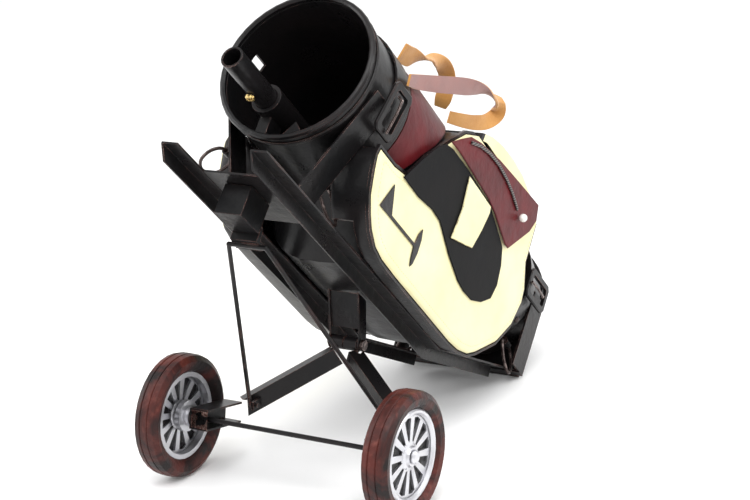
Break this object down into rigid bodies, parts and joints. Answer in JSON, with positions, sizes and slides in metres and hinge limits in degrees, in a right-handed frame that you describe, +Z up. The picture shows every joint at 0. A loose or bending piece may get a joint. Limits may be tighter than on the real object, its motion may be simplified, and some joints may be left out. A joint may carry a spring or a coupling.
{
  "type": "golf bag on push cart",
  "caption": "Tilted sheet-metal golf bag ornament with pockets, belts and strap handles, carried on twin rails with spoked wheels on a folding undercarriage.",
  "frame": {"origin": "on the ground under the middle of the whole object", "axes": "+Z up, +X along the axle to the side with the cream pocket, +Y from the wheels towards the bag's foot"},
  "size_m": [0.174, 0.351, 0.2872],
  "materials": {
    "black_paint": "gloss black over worn red-brown edges",
    "cream_paint": "satin cream with light staining",
    "maroon_paint": "gloss maroon",
    "worn_steel": "worn, darkened",
    "cast_silver": "cast, darkened in the hollows",
    "brass_screw": "bright",
    "tyre_rubber": "maroon-brown with dark rubbing",
    "tan_leather": "suede",
    "brown_leather": "smooth, dull",
    "pearl_bead": "pearly"
  },
  "bodies": {
    "bag": {"apex_pin": "worn_steel", "bag_shell": "black_paint", "base_plate": "black_paint", "base_screw": "worn_steel", "belt_lower": "black_paint", "belt_lower_rivet": "worn_steel", "belt_upper": "black_paint", "belt_upper_rivet": "worn_steel", "buckle_lower": "black_paint", "buckle_lower_prong": "worn_steel", "buckle_upper": "black_paint", "buckle_upper_prong": "worn_steel", "club_sleeve": "black_paint", "column": "black_paint", "cradle_lower": "black_paint", "cradle_upper": "black_paint", "cross_plate": "black_paint", "emblem": "black_paint", "mouth_bead": "black_paint", "mouth_tab": "black_paint", "neck_ridge": "black_paint", "pocket_back": "cream_paint", "pocket_flap": "maroon_paint", "pocket_inlay": "black_paint", "pocket_left": "cream_paint", "pocket_right": "cream_paint", "pocket_right_piping": "black_paint", "pocket_tongue": "cream_paint", "rail_left": "black_paint", "rail_right": "black_paint", "ring_base_left_keeper": "black_paint", "ring_base_right_keeper": "black_paint", "ring_left_keeper": "black_paint", "ring_right_keeper": "black_paint", "strap_brown": "brown_leather", "strap_tan": "tan_leather", "strut_clevis": "black_paint", "strut_hook": "black_paint", "yoke": "maroon_paint", "zip_line": "black_paint", "zip_pull": "pearl_bead"},
    "undercarriage": {"leg_left": "black_paint", "leg_right": "black_paint", "axle_stub_left": "black_paint", "axle_stub_right": "black_paint", "axle": "black_paint"},
    "strut": {"strut": "black_paint"},
    "wheel_left": {"wheel_left_tyre": "tyre_rubber", "wheel_left_rim": "cast_silver", "wheel_left_cap": "cast_silver"},
    "wheel_right": {"wheel_right_tyre": "tyre_rubber", "wheel_right_rim": "cast_silver", "wheel_right_cap": "cast_silver"},
    "club_tube": {"club_tube": "black_paint", "tube_screw": "brass_screw"},
    "ring_right": {"ring_right": "worn_steel"},
    "ring_left": {"ring_left": "worn_steel"},
    "ring_base_right": {"ring_base_right": "worn_steel"},
    "ring_base_left": {"ring_base_left": "worn_steel"}
  },
  "joints": [
    {"name": "undercarriage_fold", "type": "hinge", "parent": "bag", "child": "undercarriage", "pos_m": [0, -0.04493, 0.0713], "axis": [-1, 0, 0], "range_deg": [0, 25]},
    {"name": "strut_swing", "type": "hinge", "parent": "undercarriage", "child": "strut", "pos_m": [0, -0.08036, 0.036], "axis": [1, 0, 0], "range_deg": [0, 50]},
    {"name": "wheel_left_spin", "type": "hinge", "parent": "undercarriage", "child": "wheel_left", "pos_m": [-0.078, -0.11536, 0.038], "axis": [1, 0, 0], "continuous": true},
    {"name": "wheel_right_spin", "type": "hinge", "parent": "undercarriage", "child": "wheel_right", "pos_m": [0.078, -0.11536, 0.038], "axis": [1, 0, 0], "continuous": true},
    {"name": "club_tube_slide", "type": "slide", "parent": "bag", "child": "club_tube", "axis": [0, -0.7222, 0.6916], "range_m": [-0.0095, 0.04]},
    {"name": "ring_right_swing", "type": "hinge", "parent": "bag", "child": "ring_right", "pos_m": [0.0156, -0.08538, 0.18522], "axis": [0, -0.7222, 0.6916], "range_deg": [-3, 1.5]},
    {"name": "ring_left_swing", "type": "hinge", "parent": "bag", "child": "ring_left", "pos_m": [-0.0352, -0.10522, 0.20353], "axis": [0, -0.7222, 0.6916], "range_deg": [-20, 20]},
    {"name": "ring_base_right_swing", "type": "hinge", "parent": "bag", "child": "ring_base_right", "pos_m": [0.035, 0.1046, 0.02503], "axis": [0, -0.7222, 0.6916], "range_deg": [-3, 8]},
    {"name": "ring_base_left_swing", "type": "hinge", "parent": "bag", "child": "ring_base_left", "pos_m": [-0.035, 0.1046, 0.02503], "axis": [0, -0.7222, 0.6916], "range_deg": [-8, 3]}
  ],
  "couplings": [
    {"joint": "strut_swing", "follows": "undercarriage_fold", "ratio": 2}
  ]
}
